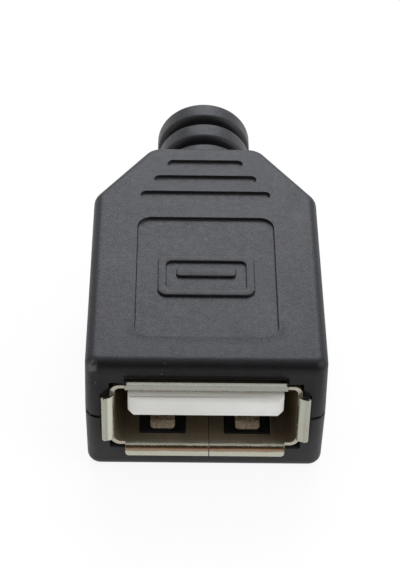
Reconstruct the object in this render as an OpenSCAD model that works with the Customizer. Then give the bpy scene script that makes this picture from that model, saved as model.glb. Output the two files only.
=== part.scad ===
// Cable socket: a folded metal shell and a four-contact tongue, held between
// two plastic half covers. The lower cover carries the ribbed cable tail.
// Frame: x to the right, y from the mouth to the tail, z up. The origin is the
// centre of the mouth, on the front face of the housing. Sizes in millimetres.

/* [Housing] */
// Width of the housing across its parallel sides, at the parting line
housing_w = 16.5; // [16.2:0.05:19]
// Length of the housing, from the front face to the rear face
housing_l = 24; // [23:0.1:30]
// Height of the upper cover above the parting line
upper_h = 4.95; // [4.8:0.05:6]
// Height of the lower cover below the parting line
lower_h = 5.1; // [4.8:0.05:6]
// Length of the parallel sides, from the front face to the shoulder
side_l = 18; // [17:0.1:18.6]
// Width of the rear face, between the ends of the tapered sides
rear_w = 8.2; // [7.8:0.1:11]
// Thickness of the roof and the floor
wall_t = 1.4; // [1.1:0.05:1.5]
// Thickness of the front wall around the mouth
front_wall_t = 1.6; // [1.2:0.1:2.2]
// Thickness of the rear wall around the cable
rear_wall_t = 1.7; // [1:0.1:2]
// Plan radius of the two front corners
front_r = 1; // [0.5:0.05:1.2]
// Plan radius of the shoulders and of the rear corners
shoulder_r = 1.6; // [0.8:0.1:2]
// Radius along the edges of the roof and of the floor
edge_r = 0.75; // [0.3:0.05:1]
// Draft of the outer walls, away from the parting line
draft_angle = 0.75; // [0:0.25:2]
// Height of the shadow line between the covers
parting_h = 0.2; // [0.1:0.02:0.3]
// Depth of the shadow line between the covers
parting_d = 0.3; // [0.15:0.05:0.4]

/* [Grip] */
// Width of the recessed panel on the upper cover
panel_w = 9.8; // [6:0.1:12]
// Length of the recessed panel
panel_l = 12.55; // [8:0.05:13]
// Distance of the panel from the front face
panel_y = 2.8; // [1.5:0.05:3.2]
// Corner radius of the panel
panel_r = 1; // [0.4:0.1:2]
// Depth of the panel
panel_d = 0.2; // [0.1:0.05:0.5]
// Number of grip grooves on each cover
groove_count = 3; // [1:1:3]
// Distance from one grip groove to the next
groove_pitch = 1.86; // [1.4:0.02:2]
// Distance from the last groove's rear edge to the rear face
groove_inset = 1.9; // [1.2:0.1:2]
// Length of the rearmost groove
groove_l = 5.6; // [3:0.1:6]
// Length that each groove has more than the one behind it
groove_step = 1.95; // [0:0.05:2.2]
// Width of a grip groove
groove_w = 0.8; // [0.4:0.1:1.2]
// Depth of a grip groove
groove_d = 0.2; // [0.1:0.05:0.5]

/* [Cable tail] */
// Radius of the cable bore
bore_r = 2.3; // [1.6:0.05:2.5]
// Wall of the tail between its rings
tail_wall_t = 0.55; // [0.5:0.05:0.7]
// Height of the rings above the wall of the tail
ring_h = 0.8; // [0.4:0.05:1.2]
// Width of a ring
ring_w = 1.87; // [1:0.01:2]
// Distance from one ring to the next ring
ring_pitch = 2.58; // [2:0.02:3.2]
// Number of rings
ring_count = 3; // [1:1:5]
// Distance from the rear face to the first ring
ring_gap = 0.2; // [0.1:0.05:1.2]
// Radius along the edges of a ring
ring_edge_r = 0.4; // [0.1:0.05:0.45]

/* [Metal shell] */
// Width of the mouth inside the metal
mouth_w = 12.45; // [12.3:0.05:12.6]
// Height of the mouth inside the metal
mouth_h = 5.12; // [5:0.02:5.2]
// Depth that a plug can enter
mouth_d = 12; // [11.5:0.1:12.4]
// Thickness of the sheet
sheet_t = 0.3; // [0.2:0.02:0.32]
// Radius of the long bends, inside the sheet
shell_r = 0.4; // [0.2:0.05:0.8]
// Setback of the front edge of the shell from the front face
shell_setback = 0.11; // [0:0.01:0.2]
// Angle by which the lips flare
lip_angle = 75; // [40:1:80]
// Straight length of a lip past its bend
lip_l = 0.52; // [0.3:0.01:0.6]
// Inside radius of the bends of lips and flanges
bend_r = 0.15; // [0.1:0.01:0.2]
// Width of the upper and the lower lip
wide_lip_w = 11; // [8:0.1:11.2]
// Width of the two side lips
side_lip_w = 4.1; // [2.5:0.1:4.2]
// Corner radius of the lips
lip_r = 0.25; // [0.1:0.05:0.5]
// Offset of the seam in the floor of the shell
seam_x = 0.25; // [0:0.05:0.6]
// Width of the seam
seam_w = 0.05; // [0.04:0.01:0.15]
// Length of the dovetail that locks the seam
dovetail_l = 1.1; // [0.6:0.05:1.4]
// Width of the dovetail at its neck
dovetail_neck_w = 1.2; // [0.8:0.05:1.6]
// Width of the dovetail at its head
dovetail_head_w = 1.8; // [1.2:0.05:2.4]
// Width of the rear flanges
flange_w = 7; // [4:0.1:10]
// Height of the rear flanges above the shell
flange_h = 0.42; // [0.35:0.01:0.5]

/* [Spring fingers] */
// Distance of a pair of fingers from the middle
finger_x = 2.95; // [2.6:0.05:3.6]
// Width of a finger
finger_w = 1.7; // [1:0.1:2.4]
// Width of the window around a finger
window_w = 3.25; // [2.6:0.05:3.6]
// Setback of the window's front edge
window_y = 0.92; // [0.7:0.02:1.4]
// Length of the window
window_l = 5.4; // [4.8:0.1:6]
// Corner radius of the window
window_r = 0.12; // [0.05:0.01:0.4]
// Gap between the tip of a finger and the front edge of its window
finger_gap = 0.41; // [0.2:0.01:0.6]
// Angle by which a finger rises into the mouth
finger_angle = 6; // [3:0.5:7]
// Length of the turned-down tip
finger_tip_l = 0.5; // [0.3:0.05:0.7]
// Angle of the turned-down tip below the finger
finger_tip_angle = 28; // [10:1:40]
// Corner radius of the tip
finger_r = 0.3; // [0.1:0.05:0.5]

/* [Tongue] */
// Width of the tongue
tongue_w = 10.65; // [10:0.05:11]
// Thickness of the tongue
tongue_t = 1.84; // [1.6:0.02:1.9]
// Height of the underside of the tongue above the middle of the mouth
tongue_z = 0.03; // [0:0.01:0.06]
// Setback of the tongue's front face
tongue_y = 0.1; // [0:0.02:0.5]
// Width of the chamfers at the two ends of the tongue's front and underside
tongue_chamfer_w = 0.4; // [0.2:0.05:0.5]
// Depth of those chamfers
tongue_chamfer_d = 0.26; // [0.1:0.02:0.4]
// Radius along the upper front edge of the tongue
tongue_r = 0.75; // [0.3:0.05:1]
// Length of the block behind the tongue
block_l = 2.5; // [2.2:0.1:2.6]
// Length of the catches on the sides of the block
catch_l = 1.2; // [0.8:0.1:1.4]
// Width of the catches on the sides of the block
catch_w = 2; // [1:0.1:3]
// Height of the catches
catch_h = 0.26; // [0.15:0.01:0.3]

/* [Contacts] */
// Distance of the outer contacts from the middle
outer_contact_x = 3.5; // [3.3:0.05:3.7]
// Distance of the inner contacts from the middle
inner_contact_x = 1; // [0.9:0.05:1.1]
// Width of a contact
contact_w = 1; // [0.7:0.05:1.1]
// Thickness of a contact
contact_t = 0.25; // [0.15:0.01:0.3]
// Depth of the slots for the contacts in the underside of the tongue
slot_d = 0.75; // [0.65:0.01:0.9]
// Thickness of the tongue's front bar, ahead of the slots
front_bar_t = 0.8; // [0.5:0.05:1.2]
// Distance of a contact's tip from the front bar
contact_tip_gap = 0.9; // [0.5:0.05:1.4]
// Length of each leg of the contact's spring bow
bow_leg_l = 2.9; // [2.4:0.05:3.2]
// Angle of the legs of the spring bow
bow_angle = 14; // [8:0.5:16]
// Inside radius of the bends of the spring bow
bow_r = 0.8; // [0.4:0.05:1.2]
// Length of the solder tail behind the block
tail_l = 3.1; // [2:0.1:3.2]

/* [Seats and catches of the covers] */
// Clearance between pieces that seat in each other
seat_gap = 0.05; // [0.03:0.01:0.08]
// Room beside the shell, inside the covers
side_room = 0.3; // [0.1:0.05:0.4]
// Clearance above and below the shell in the front wall
mouth_gap = 0.24; // [0.1:0.02:0.3]
// Room around the lips in the front wall
lip_room = 0.4; // [0.3:0.02:0.45]
// Depth of the pockets behind the lips
lip_pocket_d = 0.45; // [0.4:0.05:1]
// Height over which the pockets of the wide lips slope out to the front face
lip_pocket_slope = 0.6; // [0.2:0.05:0.65]
// Thickness of the ribs that hold the shell
rib_t = 0.9; // [0.7:0.05:1]
// Width by which the stop rib laps the rear end of the shell and the block
stop_lap = 0.9; // [0.6:0.05:1.2]
// Thickness of the rim tongue and the snap hooks of the upper cover
hook_t = 0.5; // [0.4:0.02:0.55]
// Height of the rim tongue
rim_h = 0.6; // [0.4:0.05:1]
// Length of a snap hook below the parting line
hook_l = 1.9; // [1.6:0.05:2.4]
// Width of a snap hook
hook_w = 2.4; // [1.6:0.1:2.6]
// Reach of a snap hook's barb
barb_d = 0.2; // [0.1:0.02:0.24]
// Height of a snap hook's barb
barb_h = 0.7; // [0.5:0.05:0.9]
// Radius of the locating pegs
peg_r = 0.5; // [0.3:0.05:0.6]
// Length of the locating pegs
peg_l = 1; // [0.6:0.05:1.6]
// Radius of the bosses that carry the pegs
boss_r = 1.05; // [0.95:0.05:1.2]

/* [Hidden] */
$fn = 48;
// Facets of the round corners inside the housing's outer form
hull_fn = 32;
// Flats that make up each bend of a strip
bend_steps = 6;
// Overshoot of a cutter past the faces that it opens
cut = 1;
// Overlap of features with the wall that they grow from
lap = 0.15;
// Least wall that a catch's pocket leaves on the outside
min_skin_t = 0.2;
// Most of the room for a catch that its stem takes, with the barb in the rest
hook_share = 0.75;

shell_w = mouth_w + 2 * sheet_t;
shell_h = mouth_h + 2 * sheet_t;

half_w = housing_w / 2;
taper = atan((housing_w - rear_w) / 2 / (housing_l - side_l));
cavity_w = shell_w + 2 * side_room;
side_wall_t = (housing_w - cavity_w) / 2;
cavity_side_l = side_l - side_wall_t * tan(taper / 2);
cavity_end = housing_l - rear_wall_t;

shell_end = mouth_d + block_l;
flange_y = shell_end - bend_r - sheet_t;
lip_reach = (bend_r + sheet_t) * (1 - cos(lip_angle)) + lip_l * sin(lip_angle);
opening_w = shell_w + 2 * seat_gap;
opening_h = shell_h + 2 * mouth_gap;

stop_y = shell_end + seat_gap;
back_rib_y = flange_y - rib_t;
mid_rib_y = (front_wall_t + back_rib_y) / 2 + rib_t;
rib_ys = [mid_rib_y, back_rib_y];
hook_ys = [(front_wall_t + mid_rib_y) / 2, (mid_rib_y + rib_t + back_rib_y) / 2];
catch_room = side_wall_t - hook_l * tan(draft_angle) - 2 * seat_gap - min_skin_t;
rim_t = min(hook_t, hook_share * catch_room);
barb_reach = min(barb_d, (1 - hook_share) * catch_room);
rim_x = cavity_w / 2 + seat_gap;
rim_y = front_wall_t + 2 * seat_gap;
rim_l = cavity_side_l - rim_y - 2 * seat_gap;

boss_y = cavity_side_l + 1.7 * boss_r;
boss_x = side_x(cavity_w / 2, cavity_side_l, boss_y) - (boss_r - lap) / cos(taper);

tail_r = bore_r + tail_wall_t;
ring_r = tail_r + ring_h;
ring_y = housing_l + ring_gap;
tail_end = ring_y + (ring_count - 1) * ring_pitch + ring_w;

slot_w = contact_w + 2 * seat_gap;
contact_z = tongue_z + slot_d - seat_gap - contact_t;
contact_tip_y = tongue_y + front_bar_t + contact_tip_gap;
bow_l = 2 * bow_leg_l * cos(bow_angle) + (3 * bow_r + 2 * contact_t) * sin(bow_angle);
contact_bow_y = contact_tip_y + bow_l;

plastic_colour = "#2a2a2c";
metal_colour = "#c9c3b6";
insulator_colour = "#eeeeea";
contact_colour = "#d8c48c";

// Half-width at y of a side that is parallel up to y0 and then tapers
function side_x(x0, y0, y) = x0 - max(0, y - y0) * tan(taper);

// Rectangle with round corners, centred on x and running from y = 0 to l
module round_rect(w, l, r) {
    translate([r - w / 2, 0]) square([w - 2 * r, l]);
    if (l > 2 * r)
        translate([-w / 2, r]) square([w, l - 2 * r]);
    for (x = [r - w / 2, w / 2 - r])
        for (y = [r, l - r])
            translate([x, y]) circle(r);
}

// Point at a distance to the left of a path point [y, z, heading]
function beside(p, d) = [p[0] - d * sin(p[2]), p[1] + d * cos(p[2])];

// Path point after a bend, turned by part of the bend's angle
function turned(p, r, angle) =
    let (c = beside(p, r), h = p[2] + angle)
    [c[0] + r * sin(h), c[1] - r * cos(h), h];

// Lower face of a folded strip as path points, from steps that each give a
// straight length and the angle of the bend after it, upwards if positive
function fold(steps, t, r, i = 0, p = [0, 0, 0]) =
    let (
        length = steps[i][0],
        angle = steps[i][1],
        q = [p[0] + length * cos(p[2]), p[1] + length * sin(p[2]), p[2]],
        path_r = angle > 0 ? r + t : -r
    )
    i == len(steps) - 1
        ? [q]
        : concat(
            [for (k = [0:bend_steps]) turned(q, path_r, angle * k / bend_steps)],
            fold(steps, t, r, i + 1, turned(q, path_r, angle))
        );

// Folded strip that runs along +y, with round corners at its tip
module strip(steps, w, t, r, tip_r) {
    path = concat([[0, 0, 0]], fold(steps, t, r));
    tip = path[len(path) - 1];
    lower = [for (p = path) beside(p, 0)];
    upper = [for (i = [len(path) - 1:-1:0]) beside(path[i], t)];
    difference() {
        translate([-w / 2, 0, 0])
            rotate([90, 0, 90])
                linear_extrude(w) polygon(concat(lower, upper));
        translate([0, tip[0], tip[1]])
            rotate([tip[2], 0, 0])
                translate([0, 0, -t])
                    linear_extrude(3 * t) tip_corners(w, tip_r);
    }
}

// Material outside the two round corners of a tip that ends at y = 0
module tip_corners(w, r) {
    for (side = [0, 1])
        mirror([side, 0])
            translate([w / 2 - r, -r])
                difference() {
                    square(2 * r);
                    circle(r);
                }
}

// Round corner of the housing with a round upper edge
module corner_post(r, h) {
    top_r = r - h * tan(draft_angle);
    e = min(edge_r, top_r);
    rotate_extrude($fn = hull_fn) {
        polygon([[0, 0], [r, 0], [top_r, h - e], [0, h - e]]);
        square([top_r - e, h]);
        translate([top_r - e, h - e])
            intersection() {
                circle(e, $fn = hull_fn);
                square(e);
            }
    }
}

// Outer form of one half of the housing, from the parting plane upwards
module half_form(h) {
    shoulder_x = half_w - shoulder_r;
    shoulder_y = side_l - shoulder_r * tan(taper / 2);
    rear_y = housing_l - shoulder_r;
    hull()
        for (side = [-1, 1]) {
            translate([side * (half_w - front_r), front_r]) corner_post(front_r, h);
            translate([side * shoulder_x, shoulder_y]) corner_post(shoulder_r, h);
            translate([side * side_x(shoulder_x, shoulder_y, rear_y), rear_y]) corner_post(shoulder_r, h);
        }
}

// Plan of the housing, drawn in from the outline and with square corners
module plan(inset, y0, y1) {
    x0 = half_w - inset;
    shoulder = side_l - inset * tan(taper / 2);
    x1 = side_x(x0, shoulder, y1);
    polygon([[-x0, y0], [x0, y0], [x0, shoulder], [x1, y1], [-x1, y1], [-x0, shoulder]]);
}

// Space that the shell takes up in the covers, with its clearance
module shell_space(y0, y1) {
    translate([0, y1, -shell_h / 2 - seat_gap])
        rotate([90, 0, 0])
            linear_extrude(y1 - y0)
                round_rect(opening_w, shell_h + 2 * seat_gap, shell_r + sheet_t);
}

// Ribs of one half that hold the shell, and the stop rib behind it
module shell_ribs(cavity_h) {
    difference() {
        for (y = rib_ys)
            translate([-cavity_w / 2, y, 0]) cube([cavity_w, rib_t, cavity_h + lap]);
        shell_space(0, shell_end);
    }
    difference() {
        translate([-cavity_w / 2, stop_y, 0]) cube([cavity_w, rib_t, cavity_h + lap]);
        translate([stop_lap - shell_w / 2, stop_y - cut, -cut])
            cube([shell_w - 2 * stop_lap, rib_t + 2 * cut, cut + shell_h / 2 - stop_lap]);
    }
}

// Opening of one half's front wall, with the pockets behind the lips
module mouth_opening() {
    wide_pocket_z = mouth_h / 2 + lip_reach + sheet_t * cos(lip_angle) + lip_room;
    side_pocket_x = mouth_w / 2 + lip_reach + sheet_t * cos(lip_angle);
    side_pocket_z = side_lip_w / 2 + lip_room;
    translate([-opening_w / 2, -cut, -cut])
        cube([opening_w, front_wall_t + 2 * cut, opening_h / 2 + cut]);
    translate([-wide_lip_w / 2, 0, 0])
        rotate([90, 0, 90])
            linear_extrude(wide_lip_w)
                polygon([
                    [-cut, 0],
                    [lip_pocket_d, 0],
                    [lip_pocket_d, wide_pocket_z - lip_pocket_slope],
                    [0, wide_pocket_z],
                    [-cut, wide_pocket_z]
                ]);
    translate([0, lip_pocket_d, 0])
        rotate([90, 0, 0])
            linear_extrude(cut + lip_pocket_d)
                polygon([
                    [-side_pocket_x, -cut],
                    [side_pocket_x, -cut],
                    [side_pocket_x, side_pocket_z - lip_room],
                    [opening_w / 2, side_pocket_z + lip_room / 2],
                    [-opening_w / 2, side_pocket_z + lip_room / 2],
                    [-side_pocket_x, side_pocket_z - lip_room]
                ]);
}

// Grip grooves across the roof of one half
module grip_grooves(h) {
    for (i = [0:groove_count - 1]) {
        length = groove_l + i * groove_step;
        rear = housing_l - groove_inset - i * groove_pitch;
        translate([0, rear - groove_w, h - groove_d])
            linear_extrude(groove_d + cut)
                round_rect(length, groove_w, groove_w / 2);
    }
}

// What the two covers share, drawn as the upper one with a height of h
module half_cover(h) {
    cavity_h = h - wall_t;
    difference() {
        union() {
            difference() {
                half_form(h);
                translate([0, 0, -cut])
                    linear_extrude(cavity_h + cut)
                        plan(side_wall_t, front_wall_t, cavity_end);
            }
            shell_ribs(cavity_h);
            for (side = [-1, 1])
                translate([side * boss_x, boss_y, 0]) cylinder(r = boss_r, h = cavity_h + lap);
        }
        mouth_opening();
        grip_grooves(h);
    }
}

// Rim tongue and snap hooks of one side, grown all round by a clearance
module side_catch(gap) {
    translate([rim_x - gap, rim_y - gap, -rim_h - gap])
        cube([rim_t + 2 * gap, rim_l + 2 * gap, rim_h + gap + lap]);
    for (y = hook_ys) {
        translate([rim_x - gap, y - hook_w / 2 - gap, -hook_l - gap])
            cube([rim_t + 2 * gap, hook_w + 2 * gap, hook_l + gap + lap]);
        translate([rim_x + rim_t + gap - lap, y + hook_w / 2 + gap, -hook_l - gap])
            rotate([90, 0, 0])
                linear_extrude(hook_w + 2 * gap)
                    polygon([
                        [0, 0],
                        [lap, 0],
                        [lap + barb_reach, barb_h - barb_reach],
                        [lap + barb_reach, barb_h + 2 * gap],
                        [0, barb_h + 2 * gap]
                    ]);
    }
}

module upper_cover() {
    color(plastic_colour)
        difference() {
            union() {
                half_cover(upper_h);
                for (side = [0, 1])
                    mirror([side, 0, 0]) {
                        side_catch(0);
                        translate([boss_x, boss_y, -peg_l]) cylinder(r = peg_r, h = peg_l + lap);
                    }
            }
            translate([0, panel_y, upper_h - panel_d])
                linear_extrude(panel_d + cut)
                    round_rect(panel_w, panel_l, panel_r);
            translate([0, cavity_end - cut, 0])
                rotate([-90, 0, 0])
                    cylinder(r = tail_r + seat_gap, h = rear_wall_t + 2 * cut);
        }
}

// Ring of the cable tail with round edges, from y = 0 to its width
module tail_ring() {
    rotate([-90, 0, 0])
        rotate_extrude()
            translate([bore_r, 0]) {
                square([ring_r - bore_r - ring_edge_r, ring_w]);
                translate([0, ring_edge_r]) square([ring_r - bore_r, ring_w - 2 * ring_edge_r]);
                for (y = [ring_edge_r, ring_w - ring_edge_r])
                    translate([ring_r - bore_r - ring_edge_r, y]) circle(ring_edge_r);
            }
}

module lower_cover() {
    color(plastic_colour)
        difference() {
            union() {
                difference() {
                    mirror([0, 0, 1]) half_cover(lower_h);
                    difference() {
                        translate([-half_w - cut, -cut, -parting_h])
                            cube([housing_w + 2 * cut, housing_l + 2 * cut, parting_h + cut]);
                        translate([0, 0, -2 * parting_h])
                            linear_extrude(2 * parting_h + 2 * cut)
                                plan(parting_d, parting_d, housing_l - parting_d);
                    }
                    for (side = [0, 1])
                        mirror([side, 0, 0]) {
                            side_catch(seat_gap);
                            translate([boss_x, boss_y, -peg_l - lap])
                                cylinder(r = peg_r + seat_gap, h = peg_l + lap + cut);
                        }
                }
                translate([0, cavity_end, 0])
                    rotate([-90, 0, 0])
                        cylinder(r = tail_r, h = tail_end - cavity_end);
                for (i = [0:ring_count - 1])
                    translate([0, ring_y + i * ring_pitch, 0]) tail_ring();
            }
            translate([0, cavity_end - cut, 0])
                rotate([-90, 0, 0])
                    cylinder(r = bore_r, h = tail_end - cavity_end + 2 * cut);
        }
}

// Flared lip on the wall whose inner face is at this height above the axis
module lip(height, w) {
    translate([0, shell_setback + lap, height])
        rotate([0, 0, 180])
            strip([[lap, lip_angle], [lip_l, 0]], w, sheet_t, bend_r, lip_r);
}

// Rear flange of the upper wall, turned outwards
module flange() {
    translate([0, flange_y - lap, mouth_h / 2])
        strip([[lap, 90], [flange_h - bend_r, 0]], flange_w, sheet_t, bend_r, bend_r);
}

// Spring finger of the upper wall, running forward from the end of its window
module finger() {
    run = window_l - finger_gap - finger_tip_l;
    translate([finger_x, window_y + window_l + lap, mouth_h / 2 + sheet_t])
        rotate([0, 180, 180])
            strip(
                [[lap, finger_angle], [run, -finger_tip_angle], [finger_tip_l, 0]],
                finger_w, sheet_t, bend_r, finger_r
            );
}

// Folded tube of the shell, before its lips and cut-outs
module shell_tube() {
    translate([0, shell_end, 0])
        rotate([90, 0, 0])
            linear_extrude(shell_end - shell_setback)
                difference() {
                    translate([0, -shell_h / 2]) round_rect(shell_w, shell_h, shell_r + sheet_t);
                    translate([0, -mouth_h / 2]) round_rect(mouth_w, mouth_h, shell_r);
                }
}

// Tongue of the seam's dovetail, grown by a clearance
module dovetail(gap) {
    neck = dovetail_neck_w / 2 + gap;
    head = dovetail_head_w / 2 + gap;
    polygon([[0, -neck], [dovetail_l + gap, -head], [dovetail_l + gap, head], [0, neck]]);
}

// Seam where the two edges of the sheet meet in the floor of the shell
module seam() {
    lock_y = (window_y + window_l + mouth_d) / 2;
    translate([seam_x, lock_y, -mouth_h])
        linear_extrude(mouth_h / 2 + sheet_t)
            difference() {
                union() {
                    translate([0, -shell_end]) square([seam_w, 2 * shell_end]);
                    dovetail(seam_w);
                }
                dovetail(0);
            }
}

module shield_shell() {
    color(metal_colour) {
        difference() {
            union() {
                difference() {
                    shell_tube();
                    translate([-flange_w / 2 - sheet_t, flange_y, -shell_h])
                        cube([flange_w + 2 * sheet_t, block_l, 2 * shell_h]);
                }
                for (turn = [0, 180])
                    rotate([0, turn, 0]) {
                        lip(mouth_h / 2, wide_lip_w);
                        rotate([0, 90, 0]) lip(mouth_w / 2, side_lip_w);
                        flange();
                    }
            }
            seam();
            for (side = [-1, 1]) {
                translate([side * finger_x, window_y, -shell_h])
                    linear_extrude(2 * shell_h)
                        round_rect(window_w, window_l, window_r);
                translate([side * mouth_w / 2, shell_end - block_l / 2, 0])
                    cube([mouth_w / 2, catch_l + 2 * seat_gap, catch_w + 2 * seat_gap], center = true);
            }
        }
        for (turn = [0, 180])
            rotate([0, turn, 0])
                for (side = [0, 1])
                    mirror([side, 0, 0]) finger();
    }
}

// Tongue of the insulator, with chamfered edges and a round upper front edge
module tongue() {
    w = tongue_chamfer_w;
    d = tongue_chamfer_d;
    z1 = tongue_z + tongue_t;
    x1 = tongue_w / 2;
    intersection() {
        translate([0, mouth_d, 0])
            rotate([90, 0, 0])
                linear_extrude(mouth_d - tongue_y)
                    polygon([
                        [-x1, z1],
                        [x1, z1],
                        [x1, tongue_z + d],
                        [x1 - w, tongue_z],
                        [w - x1, tongue_z],
                        [-x1, tongue_z + d]
                    ]);
        linear_extrude(mouth_h)
            polygon([
                [-x1, mouth_d],
                [x1, mouth_d],
                [x1, tongue_y + d],
                [x1 - w, tongue_y],
                [w - x1, tongue_y],
                [-x1, tongue_y + d]
            ]);
        translate([-x1, 0, 0])
            rotate([90, 0, 90])
                linear_extrude(tongue_w) {
                    translate([tongue_y, 0]) square([mouth_d - tongue_y, z1 - tongue_r]);
                    translate([tongue_y + tongue_r, 0]) square([mouth_d - tongue_y - tongue_r, z1]);
                    translate([tongue_y + tongue_r, z1 - tongue_r]) circle(tongue_r);
                }
    }
}

module contact_carrier() {
    block_w = mouth_w - 2 * seat_gap;
    block_h = mouth_h - 2 * seat_gap;
    color(insulator_colour)
        difference() {
            union() {
                tongue();
                translate([0, shell_end, -block_h / 2])
                    rotate([90, 0, 0])
                        linear_extrude(block_l)
                            round_rect(block_w, block_h, shell_r);
                translate([0, shell_end - block_l / 2, 0])
                    cube([block_w + 2 * catch_h, catch_l, catch_w], center = true);
            }
            for (i = [1:4])
                translate([contact_x(i) - slot_w / 2, 0, 0]) {
                    translate([0, tongue_y + front_bar_t, 0])
                        cube([slot_w, mouth_d - tongue_y - front_bar_t, tongue_z + slot_d]);
                    translate([0, mouth_d - cut, contact_z - seat_gap])
                        cube([slot_w, block_l + 2 * cut, contact_t + 2 * seat_gap]);
                }
        }
}

// Place of each contact across the tongue, from left to right
function contact_x(i) = [-outer_contact_x, -inner_contact_x, inner_contact_x, outer_contact_x][i - 1];

module contact(i) {
    end_r = contact_w / 2;
    rear = shell_end + tail_l - end_r;
    color(contact_colour)
        translate([contact_x(i), rear, contact_z]) {
            cylinder(r = end_r, h = contact_t);
            rotate([0, 0, 180])
                strip(
                    [[rear - contact_bow_y, -bow_angle], [bow_leg_l, 2 * bow_angle], [bow_leg_l, 0]],
                    contact_w, contact_t, bow_r, contact_w / 4
                );
        }
}

upper_cover();
lower_cover();
shield_shell();
contact_carrier();
contact(1);  // contact_1
contact(2);  // contact_2
contact(3);  // contact_3
contact(4);  // contact_4
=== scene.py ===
"""Looks of a cable socket: moulded covers, folded metal shell, white tongue and its contacts."""
import math

import bmesh
import bpy
from bpy.props import FloatProperty, FloatVectorProperty, PointerProperty
from mathutils import Matrix, Vector


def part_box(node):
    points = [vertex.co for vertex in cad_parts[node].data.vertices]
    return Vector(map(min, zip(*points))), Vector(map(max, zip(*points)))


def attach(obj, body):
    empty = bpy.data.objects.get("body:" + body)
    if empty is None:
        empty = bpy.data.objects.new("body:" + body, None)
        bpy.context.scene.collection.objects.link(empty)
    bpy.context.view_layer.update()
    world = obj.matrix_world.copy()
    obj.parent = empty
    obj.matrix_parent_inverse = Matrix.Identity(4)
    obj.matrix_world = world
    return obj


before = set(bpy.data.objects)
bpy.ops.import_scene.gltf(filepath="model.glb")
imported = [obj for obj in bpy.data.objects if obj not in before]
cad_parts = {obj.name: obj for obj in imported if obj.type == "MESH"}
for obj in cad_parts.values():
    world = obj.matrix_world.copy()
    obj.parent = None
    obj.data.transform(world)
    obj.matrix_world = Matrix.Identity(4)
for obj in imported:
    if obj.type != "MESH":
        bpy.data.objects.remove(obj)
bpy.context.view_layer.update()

bl_info = {
    "name": "Cable socket",
    "version": (1, 0, 0),
    "blender": (4, 5, 0),
    "location": "View3D > Sidebar > Socket",
    "description": "Dresses a cable socket in its plastics and metals and sets its stage",
    "category": "Object",
}

MM = 0.001

COVERS = ("upper_cover", "lower_cover")
SHELL = "shield_shell"
CARRIER = "contact_carrier"
CONTACTS = tuple(sorted(
    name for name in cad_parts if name.startswith("contact_") and name != CARRIER
))

cover_low, cover_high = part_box("upper_cover")
floor_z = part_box("lower_cover")[0].z
shell_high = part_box(SHELL)[1]


def zone(start, end):
    """Start and end of a soft step across a finish, given in millimetres."""
    return start * MM, end * MM


# Scuffs on the covers: place and reach in millimetres, and strength; the first, at the top front left
# corner, is partly a painted highlight
SCUFFS_AND_GLINT = (
    ((-7.75, 0.25, 4.5), (0.6, 0.7, 0.8), 1.8),
    ((-7.15, 0.0, -0.25), (0.25, 0.3, 0.06), 1.5),
    ((6.7, 15.6, 4.95), (0.7, 0.9, 0.5), 0.3),
    ((-6.6, 10.6, 4.95), (1.2, 0.12, 0.5), 0.3),
)

# Panel in the upper cover: its outline, and the painted shade on the rim around its front
PANEL_HALF = 4.9 * MM
PANEL_FRONT = 2.8 * MM
PANEL_CORNER = 1.0 * MM
RIM_START = zone(0.0, 0.04)
RIM_END = zone(0.04, 1.0)

# Zones of the covers, from front to back
FRONT_END = zone(0.1, 0.5)
RIM_BACK = zone(3.0, 5.0)
HOLLOW_START = zone(0.02, 0.25)
HOLLOW_END = zone(15.0, 17.0)
TAIL_START = zone(24.0, 24.4)

# Zones of the covers, from low to high
FOOT_END = zone(-4.8, 0.0)
BROW_START = zone(0.0, 3.5)
ROOF_START = zone(4.88, 4.94)

# Zones of the covers, from the middle outwards
TAIL_SIDE = zone(1.0, 3.6)
HOLLOW_SIDE = zone(7.4, 7.6)
HOLLOW_HEIGHT = zone(3.9, 4.1)

# Zones of the shell, from front to back
BRINK_START = zone(-0.12, -0.02)
BRINK_END = zone(-0.1, 0.45)
LIP_END = zone(0.02, 0.08)
INSIDE_START = zone(0.0, 0.35)
DEEP_START = zone(0.2, 1.5)

# Zones of the shell, from low to high
LOW_LIP_END = zone(-3.08, -2.98)
BEND_END = zone(-2.75, -2.62)
LOW_WALL_END = zone(-2.4, -2.3)
HIGH_LIP_START = zone(2.4, 2.6)

# Zones of the shell, from the middle outwards
FLANK_START = zone(6.0, 6.2)
FLANK_HIGHLIGHT_END = zone(6.62, 6.72)
FINGER_END = zone(2.35, 2.5)

# Zone of the shell, from left to right
LEFT_END = zone(-1.0, 1.0)

# Lines on the shell: the crease of the side lips with its painted dark line, the ridge of the lower lip
# with its painted highlight, and the tips of the lips
CREASE_X = 6.78 * MM
CREASE_END = zone(0.02, 0.06)
RIDGE_Y = -0.1 * MM
RIDGE_END = zone(0.03, 0.09)
TIP_START = zone(-0.12, -0.08)

# Room behind the camera: its direction, and where its dim part starts and its warm horizon ends
ROOM_WAY = (-0.3, -0.95, 0.0)
ROOM_START = (-0.15, 0.5)
HORIZON_END = (0.0, 0.55)

# Edges: gap that joins points, largest angle within a flat face, least angle of a sharp edge
WELD_GAP = 0.0005 * MM
FLAT_ANGLE = math.radians(0.2)
SHARP_ANGLE = math.radians(35)
SIGN_SHARP_ANGLE = math.radians(50)
SIGN_EDGE_STEPS = 3


# Sizes and colours that a user would change

def colour(name, description, default):
    """Colour setting with an opaque default."""
    return FloatVectorProperty(
        name=name, description=description, default=default, size=3, min=0.0, max=1.0, subtype="COLOR"
    )


def share(name, description, default):
    """Setting from 0 to 1."""
    return FloatProperty(
        name=name, description=description, default=default, min=0.0, max=1.0, subtype="FACTOR"
    )


def length(name, description, default):
    """Length setting in metres."""
    return FloatProperty(name=name, description=description, default=default, precision=6, unit="LENGTH")


def place(name, description, default):
    """Point in the frame of the part, in metres."""
    return FloatVectorProperty(
        name=name, description=description, default=default, size=3, precision=5, subtype="TRANSLATION"
    )


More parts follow.
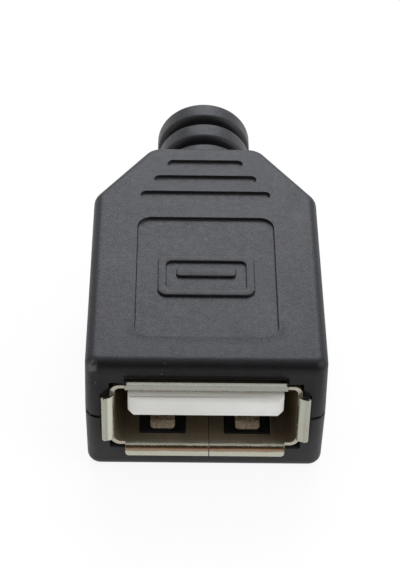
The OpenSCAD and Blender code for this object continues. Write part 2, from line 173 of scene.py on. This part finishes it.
def angle(name, description, degrees):
    """Angle setting, given in degrees."""
    return FloatProperty(
        name=name, description=description, default=math.radians(degrees), subtype="ANGLE"
    )


def power(name, description, default):
    """Power of a lamp in watts."""
    return FloatProperty(name=name, description=description, default=default, min=0.0, unit="POWER")


def lens(name, description, default):
    """Focal length in millimetres."""
    return FloatProperty(name=name, description=description, default=default, unit="CAMERA")


class CoverLook(bpy.types.PropertyGroup):
    """Moulded plastic of the two covers."""
    colour: colour("Colour", "Colour of the plastic", (0.013, 0.0133, 0.0152))
    # Also the painted light on the foot of the front face, the sides of the tail and the top front left
    # corner
    wear_and_light_colour: colour("Worn colour", "Colour of rubbed edges and scuffs", (0.09, 0.09, 0.093))
    hollow_colour: colour("Hollow colour", "Colour of the dusty inside of the covers", (0.05, 0.05, 0.052))
    dust_colour: colour("Dust colour", "Colour of the sparse specks of dust", (0.14, 0.14, 0.145))
    roughness: share("Roughness", "Roughness of the moulded skin", 0.42)
    gloss: share("Gloss", "Strength of the reflections of the moulded skin", 0.2)
    grain: length("Grain", "Distance between the pits of the skin", 0.12 * MM)
    grain_depth: length("Grain depth", "Depth of the pits of the skin", 0.02 * MM)
    edge: length("Edge", "Radius of the small edges", 0.06 * MM)


class ShellLook(bpy.types.PropertyGroup):
    """Plated sheet of the shell."""
    colour: colour("Colour", "Colour of the plating", (0.375, 0.385, 0.335))
    # Also the painted shade of the inside
    stain_and_shade_colour: colour("Stain colour", "Colour of the dull patches", (0.37, 0.29, 0.195))
    # Also the painted light just inside the mouth
    rub_and_sheen_colour: colour("Finger colour", "Colour of the rubbed spring fingers", (0.8, 0.69, 0.54))
    # Painted reflection of the dim warm room on the bend of the lower lip, and the painted dark line on the
    # crease of the side lips
    painted_shade_colour: colour("Bend colour", "Colour of the tarnished bend of the lower lip", (0.28, 0.2, 0.135))
    # Also the painted highlights on the ridge of the lower lip and on the side lips
    cut_and_highlight_colour: colour("Cut colour", "Colour of the bare cut edges", (0.62, 0.625, 0.52))
    roughness: share("Roughness", "Roughness of the plating", 0.26)
    grit: length("Grit", "Distance between the specks of the plating", 0.09 * MM)
    edge: length("Edge", "Radius of the cut edges", 0.03 * MM)


class CarrierLook(bpy.types.PropertyGroup):
    """White insulator with the tongue."""
    colour: colour("Colour", "Colour of the insulator", (0.83, 0.85, 0.82))
    roughness: share("Roughness", "Roughness of the insulator", 0.4)
    edge: length("Edge", "Radius of the small edges", 0.05 * MM)


class ContactLook(bpy.types.PropertyGroup):
    """Plated spring contacts."""
    colour: colour("Colour", "Colour of the plating", (0.78, 0.6, 0.3))
    roughness: share("Roughness", "Roughness of the plating", 0.25)
    edge: length("Edge", "Radius of the small edges", 0.02 * MM)


class SignLook(bpy.types.PropertyGroup):
    """Raised sign of a socket's mouth, in the panel of the upper cover."""
    width: length("Width", "Width of the sign", 6.8 * MM)
    depth: length("Depth", "Depth of the sign, from front to back", 4.2 * MM)
    band: length("Band", "Width of the sign's outline", 0.6 * MM)
    corner: length("Corner", "Radius of the outline's corners", 0.7 * MM)
    bar_width: length("Bar width", "Width of the bar inside the outline", 4.2 * MM)
    bar_depth: length("Bar depth", "Depth of the bar inside the outline", 0.9 * MM)
    bar_shift: length("Bar shift", "Distance of the bar behind the middle of the outline", 0.35 * MM)
    panel_depth: length("Panel depth", "Depth of the panel that the sign stands in", 0.2 * MM)
    rise: length("Rise", "Height of the sign above the panel", 0.18 * MM)
    sink: length("Sink", "Depth of the sign's foot in the panel", 0.02 * MM)
    edge: length("Edge", "Radius of the sign's upper edges", 0.072 * MM)
    middle: length("Middle", "Distance of the sign from the front face", 9.08 * MM)


class StageLook(bpy.types.PropertyGroup):
    """Camera, lamps, sky and floor."""
    camera_place: place("Camera", "Place of the camera", (-2.279 * MM, -88.592 * MM, 91.035 * MM))
    camera_pitch: angle("Camera pitch", "Angle by which the camera looks down", 41.707)
    camera_yaw: angle("Camera yaw", "Angle by which the camera looks to the left", -1.091)
    camera_roll: angle("Camera roll", "Angle by which the camera leans", 1.318)
    camera_lens: lens("Lens", "Focal length for a 36 mm frame", 117.28)
    floor_size: length("Floor", "Side of the floor", 3.0)
    floor_gap: length("Floor gap", "Gap that keeps the floor clear of the lowest faces", 0.02 * MM)
    floor_colour: colour("Floor colour", "Colour of the floor", (0.93, 0.93, 0.93))
    floor_glow: share("Floor glow", "Share of plain white in the floor as it is seen", 0.9)
    sky_colour: colour("Sky colour", "Colour of the light from above and behind", (0.92, 0.94, 0.98))
    room_colour: colour("Room colour", "Colour of the dim room behind the camera", (0.06, 0.052, 0.045))
    warm_colour: colour("Warm colour", "Colour of the room near the horizon", (0.34, 0.22, 0.12))
    back_lamp: power("Back lamp", "Power of the large lamp above and behind the part", 0.7)
    left_lamp: power("Left lamp", "Power of the lamp at the front left", 0.15)
    right_lamp: power("Right lamp", "Power of the lamp at the front right", 0.32)
    back_colour: colour("Back colour", "Colour of the large lamp", (0.92, 0.93, 1.0))
    side_colour: colour("Side colour", "Colour of the side lamps", (1.0, 1.0, 1.0))
    lamp_size: length("Lamp size", "Side of each lamp", 0.21)
    lamp_distance: length("Lamp distance", "Distance of each lamp from the part", 0.28)
    back_height: angle("Back height", "Angle of the large lamp above the horizon", 42.0)
    back_turn: angle("Back turn", "Angle of the large lamp from straight behind to the right", 4.0)
    side_height: angle("Side height", "Angle of the side lamps above the horizon", 30.0)
    side_turn: angle("Side turn", "Angle of the side lamps from straight ahead", 65.0)


# Shader maths

class Value:
    """Shader socket that takes part in Python arithmetic."""

    def __init__(self, shade, socket):
        self.shade = shade
        self.socket = socket

    def __add__(self, other):
        return self.shade.math("ADD", self, other)

    def __radd__(self, other):
        return self.shade.math("ADD", other, self)

    def __sub__(self, other):
        return self.shade.math("SUBTRACT", self, other)

    def __rsub__(self, other):
        return self.shade.math("SUBTRACT", other, self)

    def __mul__(self, other):
        return self.shade.math("MULTIPLY", self, other)

    def __rmul__(self, other):
        return self.shade.math("MULTIPLY", other, self)

    def __abs__(self):
        return self.shade.math("ABSOLUTE", self)


class Shade:
    """Node tree of a material or a world, written as expressions."""

    def __init__(self, owner):
        owner.use_nodes = True
        self.owner = owner
        self.nodes = owner.node_tree.nodes
        self.links = owner.node_tree.links
        self.nodes.clear()

    def node(self, kind, settings=None, inputs=None):
        """Adds a node, sets its settings and then feeds its sockets with values or links."""
        made = self.nodes.new(kind)
        for name, value in (settings or {}).items():
            setattr(made, name, value)
        for name, value in (inputs or {}).items():
            self.feed(made.inputs[name], value)
        return made

    def feed(self, socket, value):
        """Links a value to a socket, or sets the socket to a plain number, vector or colour."""
        if isinstance(value, Value):
            self.links.new(value.socket, socket)
        else:
            socket.default_value = value

    def out(self, node, output=0):
        """Output of a node, as a value."""
        return Value(self, node.outputs[output])

    def math(self, operation, *values):
        """Result of a Math node on numbers and values."""
        return self.out(self.node("ShaderNodeMath", {"operation": operation}, dict(enumerate(values))))

    def most(self, first, *others):
        """Largest of some values."""
        for other in others:
            first = self.math("MAXIMUM", first, other)
        return first

    def mix(self, factor, first, second):
        """Colour between two colours."""
        colours = {0: factor, 6: rgba(first), 7: rgba(second)}
        return self.out(self.node("ShaderNodeMix", {"data_type": "RGBA"}, colours), 2)

    def vector(self, operation, *values, output=0):
        """Result of a Vector Math node on vectors and values."""
        node = self.node("ShaderNodeVectorMath", {"operation": operation}, dict(enumerate(values)))
        return self.out(node, output)

    def place(self):
        """Place on the part, in metres."""
        return self.out(self.node("ShaderNodeTexCoord"), "Object")

    def along(self, where, way):
        """Part of a vector along a direction."""
        return self.vector("DOT_PRODUCT", where, way, output="Value")

    def axes(self, where):
        """Place to the right, to the back and up."""
        return [self.along(where, way) for way in ((1.0, 0.0, 0.0), (0.0, 1.0, 0.0), (0.0, 0.0, 1.0))]

    def noise(self, where, size, detail=2.0, rough=0.5, stretch=(1.0, 1.0, 1.0)):
        """Noise from 0 to 1 whose lumps have this size, in metres."""
        scaled = self.vector("MULTIPLY", where, tuple(s / size for s in stretch))
        inputs = {"Vector": scaled, "Scale": 1.0, "Detail": detail, "Roughness": rough}
        return self.out(self.node("ShaderNodeTexNoise", None, inputs))

    def rise(self, value, low, high):
        """0 below low and 1 above high, with a smooth rise between them."""
        inputs = {"Value": value, "From Min": low, "From Max": high}
        return self.out(self.node("ShaderNodeMapRange", {"interpolation_type": "SMOOTHSTEP"}, inputs))

    def fall(self, value, low, high):
        """1 below low and 0 above high, with a smooth fall between them."""
        return 1 - self.rise(value, low, high)

    def near(self, where, point, reach):
        """1 at a point, falling to 0 at the reach from it along each axis."""
        offset = self.vector("DIVIDE", self.vector("SUBTRACT", where, tuple(point)), tuple(reach))
        return self.fall(self.vector("LENGTH", offset, output="Value"), 0.0, 1.0)

    def edges(self, radius):
        """1 along convex and concave edges, 0 on plain faces."""
        soft = self.out(self.node("ShaderNodeBevel", {"samples": 4}, {"Radius": radius}))
        true = self.out(self.node("ShaderNodeNewGeometry"), "Normal")
        return self.rise(1 - self.along(soft, true), 0.03, 0.3)

    def bump(self, height, depth):
        """Normal of a surface with pits of this depth, in metres."""
        inputs = {"Strength": 1.0, "Distance": depth, "Height": height}
        return self.out(self.node("ShaderNodeBump", None, inputs))

    def surface(self, inputs):
        """Principled surface as the material's output."""
        self.finish("Material", self.node("ShaderNodeBsdfPrincipled", None, inputs))
        return self.owner

    def finish(self, kind, shader):
        """Sends a shader node to the output of a material or a world."""
        self.node("ShaderNodeOutput" + kind, None, {"Surface": self.out(shader)})


def rgba(value):
    """Colour with an alpha of 1, or a link as it is."""
    return value if isinstance(value, Value) else (*value, 1.0)


def times(values, factor):
    """Colour or point with each of its values multiplied by a factor."""
    return [factor * value for value in values]


# Finish of the covers

def moulded_black(look):
    """Satin black plastic: a fine skin in several tones, painted shade and painted light by region, scuffs,
    rubbed edges and dust.
    """
    shade = Shade(bpy.data.materials.new("moulded_black"))
    where = shade.place()
    side, depth, height = shade.axes(where)
    aside = abs(side)
    cloud = shade.noise(where, 3.0 * MM, detail=3.0)
    grain = shade.noise(where, look.grain, rough=0.6)
    smear = shade.noise(where, 0.5 * MM, detail=4.0, rough=0.7)
    speck = shade.rise(shade.noise(where, 0.13 * MM, detail=0.0), 0.83, 0.87) * shade.rise(cloud, 0.45, 0.6)

    front = shade.fall(depth, *FRONT_END)
    # Painted light: the front face paler towards its foot
    foot = front * shade.fall(height, *FOOT_END)
    # Painted shade: the front face darker towards its top
    brow_shade = front * shade.rise(height, *BROW_START)
    # Painted light: the sides of the tail paler, where more light falls on them
    tail_side_light = shade.rise(depth, *TAIL_START) * shade.rise(aside, *TAIL_SIDE)
    # Painted shade on the roof just in front of and beside the panel, which is also made a little rougher
    rim_shade = panel_rim_shade(shade, aside, depth) * shade.rise(height, *ROOF_START) * shade.fall(depth, *RIM_BACK)
    hollow = shade.rise(depth, *HOLLOW_START) * shade.fall(depth, *HOLLOW_END)
    hollow = hollow * shade.fall(aside, *HOLLOW_SIDE) * shade.fall(abs(height), *HOLLOW_HEIGHT)

    base = shade.mix(shade.rise(cloud, 0.3, 0.7), times(look.colour, 0.92), times(look.colour, 1.1))
    # Painted light on the foot of the front face
    base = shade.mix(0.2 * foot, base, look.wear_and_light_colour)
    # Painted light on the sides of the tail
    base = shade.mix(0.27 * tail_side_light, base, look.wear_and_light_colour)
    # Painted shade on the upper front face and around the panel's front: a darker tone of the plastic
    base = shade.mix(0.7 * shade.most(0.5 * rim_shade, brow_shade), base, times(look.colour, 0.2))
    base = shade.mix(hollow, base, look.hollow_colour)
    # Scuffs and rubbed edges, partly a painted highlight at the top front left corner
    base = shade.mix(scuffs_and_glint(shade, where, smear), base, look.wear_and_light_colour)
    base = shade.mix(speck, base, look.dust_colour)
    roughness = look.roughness + 0.35 * (grain - 0.5) + 0.25 * (smear - 0.5) + 0.12 * (cloud - 0.5)
    return shade.surface({
        "Base Color": base,
        "Roughness": roughness + 0.07 * rim_shade,
        "Specular IOR Level": look.gloss,
        "Normal": shade.bump(grain, look.grain_depth),
    })


def panel_rim_shade(shade, aside, depth):
    """Painted shade: 1 just outside the panel's front and sides, fading away from its outline."""
    beyond_side = shade.most(aside - (PANEL_HALF - PANEL_CORNER), 0.0)
    beyond_front = shade.most(PANEL_FRONT + PANEL_CORNER - depth, 0.0)
    reach = shade.math("SQRT", beyond_side * beyond_side + beyond_front * beyond_front)
    beyond = reach - PANEL_CORNER
    return shade.rise(beyond, *RIM_START) * shade.fall(beyond, *RIM_END)


def scuffs_and_glint(shade, where, smear):
    """Smeared wear along the edges and in the scuffed spots, with a painted highlight at the top front left
    corner.
    """
    worn = shade.rise(smear, 0.42, 0.68) * shade.edges(0.12 * MM)
    rubbed = shade.rise(smear, 0.35, 0.65)
    for point, reach, strength in SCUFFS_AND_GLINT:
        worn = worn + strength * shade.near(where, times(point, MM), times(reach, MM)) * rubbed
    return shade.math("MINIMUM", worn, 1.0)


# Finish of the shell

class SheetMap:
    """Masks of the shell's walls, lips and fingers, some of them for painted shade and painted highlights,
    and the noises of its plating.
    """

    def __init__(self, shade, look):
        where = shade.place()
        self.side, self.depth, self.height = shade.axes(where)
        self.aside, self.upright = abs(self.side), abs(self.height)
        self.patch = shade.noise(where, 1.2 * MM, detail=4.0, rough=0.65)
        self.grit = shade.noise(where, look.grit, rough=0.6)
        self.flank = shade.rise(self.aside, *FLANK_START)
        self.wide = 1 - self.flank
        across, down = (
            shade.noise(where, 0.16 * MM, detail=3.0, rough=0.6, stretch=stretch)
            for stretch in ((0.06, 1.0, 1.0), (1.0, 1.0, 0.06))
        )
        self.streak = across + self.flank * (down - across)

        self.lip = shade.fall(self.depth, *LIP_END)
        self.inside = shade.rise(self.depth, *INSIDE_START)
        # Painted shade: the wide walls darker further back inside the mouth
        self.deep_shade = self.wide * shade.rise(self.depth, *DEEP_START)
        self.finger = self.inside * self.wide * shade.fall(self.upright, *FINGER_END)
        low = self.wide * shade.fall(self.height, *LOW_WALL_END)
        # Partly rub, partly painted light: a paler, less metallic band just inside the mouth, where light
        # reaches in
        brink_rub_and_sheen = shade.rise(self.depth, *BRINK_START) * shade.fall(self.depth, *BRINK_END)
        self.brink_rub_and_sheen = brink_rub_and_sheen * (0.65 * low + 0.4 * self.flank)
        # Painted highlight: a bright, rougher line where the lower lip starts to bend
        fold = abs(self.depth - RIDGE_Y + 0.08 * MM * (self.grit - 0.5))
        self.ridge_highlight = low * shade.fall(fold, *RIDGE_END)


def plated_sheet(look):
    """Nickel plating: streaks and specks, bright cut edges, a browner inside that is partly painted shade,
    painted light and shade on the lips, and rubbed fingers.
    """
    shade = Shade(bpy.data.materials.new("plated_sheet"))
    sheet = SheetMap(shade, look)
    # Dull patches, and a browner inside that is partly tarnish and partly painted shade
    dull = shade.most(0.4 * shade.rise(sheet.patch, 0.45, 0.75), sheet.inside)
    stain = 0.6 * dull + 0.15 * sheet.inside + 0.5 * (sheet.grit - 0.35)
    base = shade.mix(stain, look.colour, look.stain_and_shade_colour)
    # Painted shade deeper inside the mouth
    base = shade.mix(0.6 * sheet.deep_shade, base, times(look.stain_and_shade_colour, 0.6))
    base = lip_colours(shade, look, sheet, base)
    base = rubs_and_sheen(shade, look, sheet, base)
    tip = shade.most(
        shade.rise(sheet.upright - shell_high.z, *TIP_START),
        shade.rise(sheet.aside - shell_high.x, *TIP_START),
    )
    # Bare cut edges and tips, and the painted highlight on the ridge
    bare = shade.most(0.5 * tip, sheet.ridge_highlight, shade.edges(0.06 * MM)) * shade.rise(sheet.grit, 0.25, 0.55)
    roughness = look.roughness + 0.25 * sheet.inside + 0.3 * sheet.ridge_highlight
    return shade.surface({
        "Base Color": shade.mix(bare, base, look.cut_and_highlight_colour),
        # Less metallic just inside the mouth and on the ridge, part of their painted light
        "Metallic": 1 - 0.4 * shade.most(sheet.brink_rub_and_sheen, sheet.ridge_highlight),
        "Roughness": roughness + 0.2 * (sheet.streak - 0.5) + 0.2 * (sheet.grit - 0.5),
        "Normal": shade.bump(sheet.streak + 0.7 * sheet.grit, depth=0.004 * MM),
    })


def lip_colours(shade, look, sheet, base):
    """Pale edge of the lower lip, and painted light and shade: a warm reflection on its bend, shade on the
    upper lip and on the crease of the side lips, a highlight on the side lips.
    """
    wave = sheet.height + 0.12 * MM * (sheet.patch - 0.5) + 0.05 * MM * (sheet.grit - 0.5)
    low_lip = shade.fall(wave, *LOW_LIP_END)
    # Painted reflection: a warm brown band on the bend of the lower lip
    bend = sheet.wide * sheet.lip * (1 - low_lip) * shade.fall(wave, *BEND_END)
    # Painted shade: the upper lip dimmed, as it reflects the shadowed floor
    high_lip_shade = sheet.wide * sheet.lip * shade.rise(sheet.height, *HIGH_LIP_START)
    crease = abs(sheet.aside + 0.04 * MM * (sheet.patch - 0.5) - CREASE_X)
    # Painted highlight: the inner band of the side lips paler, more on the left where more light falls
    flank_highlight = sheet.flank * sheet.lip * shade.fall(sheet.aside, *FLANK_HIGHLIGHT_END)
    left = shade.fall(sheet.side, *LEFT_END)
    base = shade.mix(0.8 * low_lip * sheet.grit, base, look.cut_and_highlight_colour)
    base = shade.mix(bend, base, look.painted_shade_colour)
    # Painted shade on the upper lip
    base = shade.mix(0.5 * high_lip_shade, base, times(look.colour, 0.65))
    # Painted shade: a dark line along the crease of the side lips
    base = shade.mix(0.18 * sheet.lip * shade.fall(crease, *CREASE_END), base, look.painted_shade_colour)
    # Painted highlight on the side lips
    return shade.mix(flank_highlight * (0.15 + 0.6 * left), base, look.cut_and_highlight_colour)


def rubs_and_sheen(shade, look, sheet, base):
    """Golden rubs on the fingers and as specks inside, and a paler band just inside the mouth that is
    partly rub and partly painted light.
    """
    for rub in (
        sheet.finger * shade.rise(sheet.grit, 0.3, 0.7),
        # Partly rub, partly painted light just inside the mouth
        0.7 * sheet.brink_rub_and_sheen * sheet.grit,
        0.35 * sheet.inside * shade.rise(sheet.grit, 0.52, 0.7),
    ):
        base = shade.mix(rub, base, look.rub_and_sheen_colour)
    return base


# Finishes of the insulator, the contacts and the stage

def white_insulator(look):
    """White insulator plastic with faint flow marks."""
    shade = Shade(bpy.data.materials.new("white_insulator"))
    where = shade.place()
    flow = shade.noise(where, 1.5 * MM, detail=3.0, stretch=(1.0, 0.3, 1.0))
    grain = shade.noise(where, 0.1 * MM)
    return shade.surface({
        "Base Color": shade.mix(shade.rise(flow, 0.3, 0.7), times(look.colour, 0.96), look.colour),
        "Roughness": look.roughness + 0.1 * (flow - 0.5),
        "Normal": shade.bump(grain, depth=0.002 * MM),
    })


def contact_plating(look):
    """Thin gold plating with faint drawing lines."""
    shade = Shade(bpy.data.materials.new("contact_plating"))
    line = shade.noise(shade.place(), 0.12 * MM, stretch=(1.0, 0.06, 1.0))
    return shade.surface({
        "Base Color": shade.mix(shade.rise(line, 0.3, 0.7), times(look.colour, 0.88), look.colour),
        "Metallic": 1.0,
        "Roughness": look.roughness + 0.15 * (line - 0.5),
        "Normal": shade.bump(line, depth=0.001 * MM),
    })


def pale_floor(look):
    """Pale floor that keeps the shadow and reads as white where nothing shades it."""
    shade = Shade(bpy.data.materials.new("pale_floor"))
    path = shade.node("ShaderNodeLightPath")
    rays = ("Is Camera Ray", "Is Glossy Ray", "Is Transmission Ray")
    seen = shade.most(*(shade.out(path, ray) for ray in rays))
    matt = shade.out(shade.node("ShaderNodeBsdfDiffuse", None, {"Color": rgba(look.floor_colour)}))
    white = shade.out(shade.node("ShaderNodeEmission", None, {"Strength": 1.0}))
    shade.finish("Material", shade.node(
        "ShaderNodeMixShader", None, {0: seen * look.floor_glow, 1: matt, 2: white}
    ))
    return shade.owner


def studio_sky(look):
    """Pale sky behind and above the part, and a dim, warmer room behind the camera."""
    shade = Shade(bpy.data.worlds.new("studio"))
    way = shade.out(shade.node("ShaderNodeTexCoord"), "Generated")
    front = shade.rise(shade.along(way, ROOM_WAY), *ROOM_START)
    low = shade.fall(shade.along(way, (0.0, 0.0, 1.0)), *HORIZON_END)
    sky = shade.mix(front, look.sky_colour, look.room_colour)
    sky = shade.mix(front * low, sky, look.warm_colour)
    shade.finish("World", shade.node("ShaderNodeBackground", None, {"Color": sky, "Strength": 1.0}))
    return shade.owner


# Pieces

def dress(name, material, edge, segments=2):
    """Gives a CAD node its material, smooth shading and small round edges."""
    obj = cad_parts[name]
    obj.data.materials.clear()
    obj.data.materials.append(material)
    soften(obj, edge, segments)


def soften(obj, edge, segments):
    """Joins the faces of a mesh, rounds its sharp edges and shades it smooth."""
    mesh = obj.data
    normals = mesh.attributes.get("custom_normal")
    if normals:
        mesh.attributes.remove(normals)
    mesh.shade_smooth()
    weld = obj.modifiers.new("join_faces", "WELD")
    weld.merge_threshold = WELD_GAP
    flat = obj.modifiers.new("plain_faces", "DECIMATE")
    flat.decimate_type = "DISSOLVE"
    flat.angle_limit = FLAT_ANGLE
    bevel = obj.modifiers.new("small_edges", "BEVEL")
    bevel.width = edge
    bevel.segments = segments
    bevel.limit_method = "ANGLE"
    bevel.angle_limit = SHARP_ANGLE
    bevel.harden_normals = True
    bevel.use_clamp_overlap = False
    bevel.miter_outer = "MITER_ARC"


def new_piece(name, bm):
    """Object for a finished mesh, linked to the scene."""
    mesh = bpy.data.meshes.new(name)
    bm.normal_update()
    bm.to_mesh(mesh)
    bm.free()
    obj = bpy.data.objects.new(name, mesh)
    bpy.context.scene.collection.objects.link(obj)
    return obj


def round_outline(width, depth, corner, steps=8):
    """Points of a rectangle with round corners, counter-clockwise and centred."""
    points = []
    for i, (sx, sy) in enumerate(((1, 1), (-1, 1), (-1, -1), (1, -1))):
        for k in range(steps + 1):
            turn = math.radians(90 * (i + k / steps))
            x = sx * (width / 2 - corner) + corner * math.cos(turn)
            y = sy * (depth / 2 - corner) + corner * math.sin(turn)
            points.append((x, y))
    return points


def ring_faces(bm, lower, upper):
    """Closes the band between two loops of vertices."""
    for i in range(len(lower)):
        j = (i + 1) % len(lower)
        bm.faces.new((lower[i], lower[j], upper[j], upper[i]))


def wall_profile(low, high, edge):
    """Inward offset and height of a wall's points, from its foot over its round upper edge."""
    profile = [(0.0, low)]
    for k in range(SIGN_EDGE_STEPS + 1):
        turn = math.radians(90 * k / SIGN_EDGE_STEPS)
        profile.append((edge * (1 - math.cos(turn)), high - edge * (1 - math.sin(turn))))
    return profile


def raised_loops(bm, width, depth, corner, profile, middle, inward=False):
    """Loops of a wall that follows a round outline and a profile, from its foot to its top."""
    sign = -1 if inward else 1
    loops = []
    for offset, z in profile:
        shrink = sign * offset
        outline = round_outline(width - 2 * shrink, depth - 2 * shrink, corner - shrink)
        loops.append([bm.verts.new((x, middle + y, z)) for x, y in outline])
    for first, second in zip(loops, loops[1:]):
        if inward:
            first, second = second, first
        ring_faces(bm, first, second)
    return loops


# Stage

def add_floor(look):
    """Square floor just below the part."""
    bm = bmesh.new()
    half = look.floor_size / 2
    corners = ((-half, -half), (half, -half), (half, half), (-half, half))
    bm.faces.new([bm.verts.new((x, y, floor_z - look.floor_gap)) for x, y in corners])
    floor = new_piece("floor", bm)
    floor.data.materials.append(pale_floor(look))


def add_lamp(look, name, energy, light, turn, height):
    """Soft lamp that faces the part, turned from straight ahead to the right and raised."""
    lamp = bpy.data.lights.new(name, "AREA")
    lamp.energy = energy
    lamp.color = light
    lamp.size = look.lamp_size
    obj = bpy.data.objects.new(name, lamp)
    level = math.cos(height)
    way = Vector((level * math.sin(turn), -level * math.cos(turn), math.sin(height)))
    obj.location = (cover_low + cover_high) / 2 + look.lamp_distance * way
    obj.rotation_euler = (-way).to_track_quat("-Z", "Y").to_euler()
    bpy.context.scene.collection.objects.link(obj)


def add_camera(look):
    """Camera at its place, turned by its yaw, pitch and roll."""
    camera = bpy.data.cameras.new("camera")
    camera.lens = look.camera_lens
    camera.sensor_width = 36.0
    camera.clip_start = 0.005
    camera.clip_end = 5.0
    obj = bpy.data.objects.new("camera", camera)
    pitch, yaw, roll = look.camera_pitch, look.camera_yaw, look.camera_roll
    level = math.cos(pitch)
    right = Vector((math.cos(yaw), math.sin(yaw), 0.0))
    forward = Vector((-math.sin(yaw) * level, math.cos(yaw) * level, -math.sin(pitch)))
    up = right.cross(forward)
    leaning_right = math.cos(roll) * right + math.sin(roll) * up
    leaning_up = math.cos(roll) * up - math.sin(roll) * right
    turn = Matrix((leaning_right, leaning_up, -forward)).transposed()
    obj.matrix_world = Matrix.Translation(look.camera_place) @ turn.to_4x4()
    bpy.context.scene.collection.objects.link(obj)
    return obj


# Operators

class SOCKET_OT_stage(bpy.types.Operator):
    """Sets the floor, the lamps, the sky and the camera"""
    bl_idname = "socket.stage"
    bl_label = "Stage"

    def execute(self, context):
        scene = context.scene
        look = scene.socket_stage
        scene.view_settings.view_transform = "Standard"
        add_floor(look)
        scene.world = studio_sky(look)
        behind = math.pi - look.back_turn
        add_lamp(look, "back_lamp", look.back_lamp, look.back_colour, behind, look.back_height)
        add_lamp(look, "left_lamp", look.left_lamp, look.side_colour, -look.side_turn, look.side_height)
        add_lamp(look, "right_lamp", look.right_lamp, look.side_colour, look.side_turn, look.side_height)
        scene.camera = add_camera(look)
        return {"FINISHED"}


class SOCKET_OT_covers(bpy.types.Operator):
    """Gives the two covers their moulded black plastic"""
    bl_idname = "socket.covers"
    bl_label = "Covers"

    def execute(self, context):
        look = context.scene.socket_covers
        plastic = moulded_black(look)
        for name in COVERS:
            dress(name, plastic, look.edge)
        return {"FINISHED"}


class SOCKET_OT_shell(bpy.types.Operator):
    """Gives the folded shell its plating"""
    bl_idname = "socket.shell"
    bl_label = "Shell"

    def execute(self, context):
        look = context.scene.socket_shell
        dress(SHELL, plated_sheet(look), look.edge, segments=3)
        return {"FINISHED"}


class SOCKET_OT_carrier(bpy.types.Operator):
    """Gives the insulator its white plastic"""
    bl_idname = "socket.carrier"
    bl_label = "Insulator"

    def execute(self, context):
        look = context.scene.socket_carrier
        dress(CARRIER, white_insulator(look), look.edge)
        return {"FINISHED"}


class SOCKET_OT_contacts(bpy.types.Operator):
    """Gives the contacts their plating"""
    bl_idname = "socket.contacts"
    bl_label = "Contacts"

    def execute(self, context):
        look = context.scene.socket_contacts
        plating = contact_plating(look)
        for name in CONTACTS:
            dress(name, plating, look.edge)
        return {"FINISHED"}


class SOCKET_OT_sign(bpy.types.Operator):
    """Raises the plain sign of a socket's mouth in the panel"""
    bl_idname = "socket.sign"
    bl_label = "Sign"

    def execute(self, context):
        look = context.scene.socket_sign
        panel_z = cover_high.z - look.panel_depth
        profile = wall_profile(panel_z - look.sink, panel_z + look.rise, look.edge)
        hole_width, hole_depth = look.width - 2 * look.band, look.depth - 2 * look.band
        hole_corner = look.corner - look.band / 2
        bar_corner = look.bar_depth / 3
        bar_middle = look.middle + look.bar_shift
        bm = bmesh.new()
        outer = raised_loops(bm, look.width, look.depth, look.corner, profile, look.middle)
        inner = raised_loops(bm, hole_width, hole_depth, hole_corner, profile, look.middle, inward=True)
        ring_faces(bm, outer[-1], inner[-1])
        ring_faces(bm, inner[0], outer[0])
        bar = raised_loops(bm, look.bar_width, look.bar_depth, bar_corner, profile, bar_middle)
        bm.faces.new(bar[-1])
        bm.faces.new(reversed(bar[0]))
        sign = new_piece("panel_sign", bm)
        sign.data.shade_smooth()
        sign.data.set_sharp_from_angle(angle=SIGN_SHARP_ANGLE)
        sign.data.materials.append(bpy.data.materials["moulded_black"])
        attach(sign, "root")
        return {"FINISHED"}


class SOCKET_PT_panel(bpy.types.Panel):
    """Lists the steps and the settings of the socket"""
    bl_idname = "SOCKET_PT_panel"
    bl_label = "Cable socket"
    bl_space_type = "VIEW_3D"
    bl_region_type = "UI"
    bl_category = "Socket"

    def draw(self, context):
        for operator in OPERATORS:
            self.layout.operator(operator.bl_idname)
        for name, group in SETTINGS.items():
            box = self.layout.box()
            box.label(text=group.__doc__)
            for key in group.__annotations__:
                box.prop(getattr(context.scene, name), key)


OPERATORS = (
    SOCKET_OT_stage,
    SOCKET_OT_covers,
    SOCKET_OT_shell,
    SOCKET_OT_carrier,
    SOCKET_OT_contacts,
    SOCKET_OT_sign,
)
SETTINGS = {
    "socket_stage": StageLook,
    "socket_covers": CoverLook,
    "socket_shell": ShellLook,
    "socket_carrier": CarrierLook,
    "socket_contacts": ContactLook,
    "socket_sign": SignLook,
}


def register():
    for cls in (*SETTINGS.values(), *OPERATORS, SOCKET_PT_panel):
        bpy.utils.register_class(cls)
    for name, group in SETTINGS.items():
        setattr(bpy.types.Scene, name, PointerProperty(type=group))


def unregister():
    for name in SETTINGS:
        delattr(bpy.types.Scene, name)
    for cls in (SOCKET_PT_panel, *reversed(OPERATORS), *reversed(SETTINGS.values())):
        bpy.utils.unregister_class(cls)


def main():
    register()
    bpy.ops.socket.stage()
    bpy.ops.socket.covers()
    bpy.ops.socket.shell()
    bpy.ops.socket.carrier()
    bpy.ops.socket.contacts()
    bpy.ops.socket.sign()


if __name__ == "__main__":
    main()
